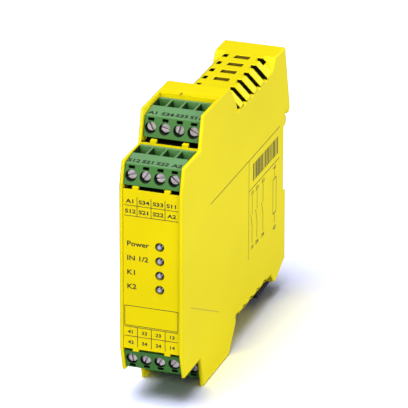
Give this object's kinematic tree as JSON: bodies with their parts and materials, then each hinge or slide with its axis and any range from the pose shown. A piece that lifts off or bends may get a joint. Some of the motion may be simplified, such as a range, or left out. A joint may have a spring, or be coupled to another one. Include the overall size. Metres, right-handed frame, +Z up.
{
  "type": "safety relay",
  "caption": "Narrow yellow rail-mounted relay module with stepped front, plug-in green screw terminal blocks, status lights, vented top and bottom and a sprung foot latch.",
  "frame": {"origin": "middle of the 35 mm rail on the rail seat plane, half-way across the width and up the height", "axes": "+X right seen from the front, +Y from the front face into the rail, +Z up"},
  "size_m": [0.0226, 0.1145, 0.099],
  "materials": {
    "yellow_housing": "moulded, fine matt",
    "yellow_cover": "moulded, fine matt, printed",
    "black_latch": "moulded, matt",
    "spring_steel": "drawn wire",
    "board": "coated laminate",
    "relay_case": "moulded, satin",
    "capacitor_can": "sleeved can",
    "chip_case": "moulded",
    "led_lens": "clear tinted lens",
    "tinned_wire": "tinned",
    "green_plug": "moulded, satin",
    "green_header": "moulded, satin",
    "tinned_contact": "tinned",
    "screw_zinc": "zinc plated, slotted",
    "cage_zinc": "zinc plated"
  },
  "bodies": {
    "base": {"housing": "yellow_housing", "front_cover": "yellow_cover", "circuit_board": "board", "relay_1": "relay_case", "relay_2": "relay_case", "storage_capacitor": "capacitor_can", "logic_chips": "chip_case", "status_leds": "led_lens", "led_leads": "tinned_wire", "foot_spring": "spring_steel", "header_upper_front": "green_header", "header_upper_rear": "green_header", "header_lower_front": "green_header", "header_lower_rear": "green_header", "pins_upper_front": "tinned_contact", "pins_upper_rear": "tinned_contact", "pins_lower_front": "tinned_contact", "pins_lower_rear": "tinned_contact"},
    "latch": {"foot_latch": "black_latch"},
    "plug_upper_front": {"plug_upper_front": "green_plug", "contacts_upper_front": "tinned_contact"},
    "screw_upper_front_1": {"screw_upper_front_1": "screw_zinc"},
    "cage_upper_front_1": {"cage_upper_front_1": "cage_zinc"},
    "screw_upper_front_2": {"screw_upper_front_2": "screw_zinc"},
    "cage_upper_front_2": {"cage_upper_front_2": "cage_zinc"},
    "screw_upper_front_3": {"screw_upper_front_3": "screw_zinc"},
    "cage_upper_front_3": {"cage_upper_front_3": "cage_zinc"},
    "screw_upper_front_4": {"screw_upper_front_4": "screw_zinc"},
    "cage_upper_front_4": {"cage_upper_front_4": "cage_zinc"},
    "plug_upper_rear": {"plug_upper_rear": "green_plug", "contacts_upper_rear": "tinned_contact"},
    "screw_upper_rear_1": {"screw_upper_rear_1": "screw_zinc"},
    "cage_upper_rear_1": {"cage_upper_rear_1": "cage_zinc"},
    "screw_upper_rear_2": {"screw_upper_rear_2": "screw_zinc"},
    "cage_upper_rear_2": {"cage_upper_rear_2": "cage_zinc"},
    "screw_upper_rear_3": {"screw_upper_rear_3": "screw_zinc"},
    "cage_upper_rear_3": {"cage_upper_rear_3": "cage_zinc"},
    "screw_upper_rear_4": {"screw_upper_rear_4": "screw_zinc"},
    "cage_upper_rear_4": {"cage_upper_rear_4": "cage_zinc"},
    "plug_lower_front": {"plug_lower_front": "green_plug", "contacts_lower_front": "tinned_contact"},
    "screw_lower_front_1": {"screw_lower_front_1": "screw_zinc"},
    "cage_lower_front_1": {"cage_lower_front_1": "cage_zinc"},
    "screw_lower_front_2": {"screw_lower_front_2": "screw_zinc"},
    "cage_lower_front_2": {"cage_lower_front_2": "cage_zinc"},
    "screw_lower_front_3": {"screw_lower_front_3": "screw_zinc"},
    "cage_lower_front_3": {"cage_lower_front_3": "cage_zinc"},
    "screw_lower_front_4": {"screw_lower_front_4": "screw_zinc"},
    "cage_lower_front_4": {"cage_lower_front_4": "cage_zinc"},
    "plug_lower_rear": {"plug_lower_rear": "green_plug", "contacts_lower_rear": "tinned_contact"},
    "screw_lower_rear_1": {"screw_lower_rear_1": "screw_zinc"},
    "cage_lower_rear_1": {"cage_lower_rear_1": "cage_zinc"},
    "screw_lower_rear_2": {"screw_lower_rear_2": "screw_zinc"},
    "cage_lower_rear_2": {"cage_lower_rear_2": "cage_zinc"},
    "screw_lower_rear_3": {"screw_lower_rear_3": "screw_zinc"},
    "cage_lower_rear_3": {"cage_lower_rear_3": "cage_zinc"},
    "screw_lower_rear_4": {"screw_lower_rear_4": "screw_zinc"},
    "cage_lower_rear_4": {"cage_lower_rear_4": "cage_zinc"}
  },
  "joints": [
    {"name": "latch_release", "type": "slide", "parent": "base", "child": "latch", "axis": [0, 0, -1], "range_m": [0, 0.003], "stiffness_N_per_m": 2000, "springref_m": -0.002, "deforming": ["foot_spring"]},
    {"name": "plug_upper_front_pull", "type": "slide", "parent": "base", "child": "plug_upper_front", "axis": [0, -1, 0], "range_m": [0, 0.012]},
    {"name": "screw_upper_front_1_turn", "type": "hinge", "parent": "plug_upper_front", "child": "screw_upper_front_1", "pos_m": [-0.0075, -0.1062, 0.0332], "axis": [0, 1, 0], "range_deg": [0, 1800]},
    {"name": "cage_upper_front_1_lift", "type": "slide", "parent": "plug_upper_front", "child": "cage_upper_front_1", "axis": [0, -1, 0], "range_m": [0, 0.0025]},
    {"name": "screw_upper_front_2_turn", "type": "hinge", "parent": "plug_upper_front", "child": "screw_upper_front_2", "pos_m": [-0.0025, -0.1062, 0.0332], "axis": [0, 1, 0], "range_deg": [0, 1800]},
    {"name": "cage_upper_front_2_lift", "type": "slide", "parent": "plug_upper_front", "child": "cage_upper_front_2", "axis": [0, -1, 0], "range_m": [0, 0.0025]},
    {"name": "screw_upper_front_3_turn", "type": "hinge", "parent": "plug_upper_front", "child": "screw_upper_front_3", "pos_m": [0.0025, -0.1062, 0.0332], "axis": [0, 1, 0], "range_deg": [0, 1800]},
    {"name": "cage_upper_front_3_lift", "type": "slide", "parent": "plug_upper_front", "child": "cage_upper_front_3", "axis": [0, -1, 0], "range_m": [0, 0.0025]},
    {"name": "screw_upper_front_4_turn", "type": "hinge", "parent": "plug_upper_front", "child": "screw_upper_front_4", "pos_m": [0.0075, -0.1062, 0.0332], "axis": [0, 1, 0], "range_deg": [0, 1800]},
    {"name": "cage_upper_front_4_lift", "type": "slide", "parent": "plug_upper_front", "child": "cage_upper_front_4", "axis": [0, -1, 0], "range_m": [0, 0.0025]},
    {"name": "plug_upper_rear_pull", "type": "slide", "parent": "base", "child": "plug_upper_rear", "axis": [0, -1, 0], "range_m": [0, 0.012]},
    {"name": "screw_upper_rear_1_turn", "type": "hinge", "parent": "plug_upper_rear", "child": "screw_upper_rear_1", "pos_m": [-0.0075, -0.0872, 0.043], "axis": [0, 1, 0], "range_deg": [0, 1800]},
    {"name": "cage_upper_rear_1_lift", "type": "slide", "parent": "plug_upper_rear", "child": "cage_upper_rear_1", "axis": [0, -1, 0], "range_m": [0, 0.0025]},
    {"name": "screw_upper_rear_2_turn", "type": "hinge", "parent": "plug_upper_rear", "child": "screw_upper_rear_2", "pos_m": [-0.0025, -0.0872, 0.043], "axis": [0, 1, 0], "range_deg": [0, 1800]},
    {"name": "cage_upper_rear_2_lift", "type": "slide", "parent": "plug_upper_rear", "child": "cage_upper_rear_2", "axis": [0, -1, 0], "range_m": [0, 0.0025]},
    {"name": "screw_upper_rear_3_turn", "type": "hinge", "parent": "plug_upper_rear", "child": "screw_upper_rear_3", "pos_m": [0.0025, -0.0872, 0.043], "axis": [0, 1, 0], "range_deg": [0, 1800]},
    {"name": "cage_upper_rear_3_lift", "type": "slide", "parent": "plug_upper_rear", "child": "cage_upper_rear_3", "axis": [0, -1, 0], "range_m": [0, 0.0025]},
    {"name": "screw_upper_rear_4_turn", "type": "hinge", "parent": "plug_upper_rear", "child": "screw_upper_rear_4", "pos_m": [0.0075, -0.0872, 0.043], "axis": [0, 1, 0], "range_deg": [0, 1800]},
    {"name": "cage_upper_rear_4_lift", "type": "slide", "parent": "plug_upper_rear", "child": "cage_upper_rear_4", "axis": [0, -1, 0], "range_m": [0, 0.0025]},
    {"name": "plug_lower_front_pull", "type": "slide", "parent": "base", "child": "plug_lower_front", "axis": [0, -1, 0], "range_m": [0, 0.012]},
    {"name": "screw_lower_front_1_turn", "type": "hinge", "parent": "plug_lower_front", "child": "screw_lower_front_1", "pos_m": [-0.0075, -0.1062, -0.0332], "axis": [0, 1, 0], "range_deg": [0, 1800]},
    {"name": "cage_lower_front_1_lift", "type": "slide", "parent": "plug_lower_front", "child": "cage_lower_front_1", "axis": [0, -1, 0], "range_m": [0, 0.0025]},
    {"name": "screw_lower_front_2_turn", "type": "hinge", "parent": "plug_lower_front", "child": "screw_lower_front_2", "pos_m": [-0.0025, -0.1062, -0.0332], "axis": [0, 1, 0], "range_deg": [0, 1800]},
    {"name": "cage_lower_front_2_lift", "type": "slide", "parent": "plug_lower_front", "child": "cage_lower_front_2", "axis": [0, -1, 0], "range_m": [0, 0.0025]},
    {"name": "screw_lower_front_3_turn", "type": "hinge", "parent": "plug_lower_front", "child": "screw_lower_front_3", "pos_m": [0.0025, -0.1062, -0.0332], "axis": [0, 1, 0], "range_deg": [0, 1800]},
    {"name": "cage_lower_front_3_lift", "type": "slide", "parent": "plug_lower_front", "child": "cage_lower_front_3", "axis": [0, -1, 0], "range_m": [0, 0.0025]},
    {"name": "screw_lower_front_4_turn", "type": "hinge", "parent": "plug_lower_front", "child": "screw_lower_front_4", "pos_m": [0.0075, -0.1062, -0.0332], "axis": [0, 1, 0], "range_deg": [0, 1800]},
    {"name": "cage_lower_front_4_lift", "type": "slide", "parent": "plug_lower_front", "child": "cage_lower_front_4", "axis": [0, -1, 0], "range_m": [0, 0.0025]},
    {"name": "plug_lower_rear_pull", "type": "slide", "parent": "base", "child": "plug_lower_rear", "axis": [0, -1, 0], "range_m": [0, 0.012]},
    {"name": "screw_lower_rear_1_turn", "type": "hinge", "parent": "plug_lower_rear", "child": "screw_lower_rear_1", "pos_m": [-0.0075, -0.0872, -0.043], "axis": [0, 1, 0], "range_deg": [0, 1800]},
    {"name": "cage_lower_rear_1_lift", "type": "slide", "parent": "plug_lower_rear", "child": "cage_lower_rear_1", "axis": [0, -1, 0], "range_m": [0, 0.0025]},
    {"name": "screw_lower_rear_2_turn", "type": "hinge", "parent": "plug_lower_rear", "child": "screw_lower_rear_2", "pos_m": [-0.0025, -0.0872, -0.043], "axis": [0, 1, 0], "range_deg": [0, 1800]},
    {"name": "cage_lower_rear_2_lift", "type": "slide", "parent": "plug_lower_rear", "child": "cage_lower_rear_2", "axis": [0, -1, 0], "range_m": [0, 0.0025]},
    {"name": "screw_lower_rear_3_turn", "type": "hinge", "parent": "plug_lower_rear", "child": "screw_lower_rear_3", "pos_m": [0.0025, -0.0872, -0.043], "axis": [0, 1, 0], "range_deg": [0, 1800]},
    {"name": "cage_lower_rear_3_lift", "type": "slide", "parent": "plug_lower_rear", "child": "cage_lower_rear_3", "axis": [0, -1, 0], "range_m": [0, 0.0025]},
    {"name": "screw_lower_rear_4_turn", "type": "hinge", "parent": "plug_lower_rear", "child": "screw_lower_rear_4", "pos_m": [0.0075, -0.0872, -0.043], "axis": [0, 1, 0], "range_deg": [0, 1800]},
    {"name": "cage_lower_rear_4_lift", "type": "slide", "parent": "plug_lower_rear", "child": "cage_lower_rear_4", "axis": [0, -1, 0], "range_m": [0, 0.0025]}
  ],
  "couplings": [
    {"joint": "screw_upper_front_1_turn", "follows": "cage_upper_front_1_lift", "rad_per_m": 12566},
    {"joint": "screw_upper_front_2_turn", "follows": "cage_upper_front_2_lift", "rad_per_m": 12566},
    {"joint": "screw_upper_front_3_turn", "follows": "cage_upper_front_3_lift", "rad_per_m": 12566},
    {"joint": "screw_upper_front_4_turn", "follows": "cage_upper_front_4_lift", "rad_per_m": 12566},
    {"joint": "screw_upper_rear_1_turn", "follows": "cage_upper_rear_1_lift", "rad_per_m": 12566},
    {"joint": "screw_upper_rear_2_turn", "follows": "cage_upper_rear_2_lift", "rad_per_m": 12566},
    {"joint": "screw_upper_rear_3_turn", "follows": "cage_upper_rear_3_lift", "rad_per_m": 12566},
    {"joint": "screw_upper_rear_4_turn", "follows": "cage_upper_rear_4_lift", "rad_per_m": 12566},
    {"joint": "screw_lower_front_1_turn", "follows": "cage_lower_front_1_lift", "rad_per_m": 12566},
    {"joint": "screw_lower_front_2_turn", "follows": "cage_lower_front_2_lift", "rad_per_m": 12566},
    {"joint": "screw_lower_front_3_turn", "follows": "cage_lower_front_3_lift", "rad_per_m": 12566},
    {"joint": "screw_lower_front_4_turn", "follows": "cage_lower_front_4_lift", "rad_per_m": 12566},
    {"joint": "screw_lower_rear_1_turn", "follows": "cage_lower_rear_1_lift", "rad_per_m": 12566},
    {"joint": "screw_lower_rear_2_turn", "follows": "cage_lower_rear_2_lift", "rad_per_m": 12566},
    {"joint": "screw_lower_rear_3_turn", "follows": "cage_lower_rear_3_lift", "rad_per_m": 12566},
    {"joint": "screw_lower_rear_4_turn", "follows": "cage_lower_rear_4_lift", "rad_per_m": 12566}
  ]
}
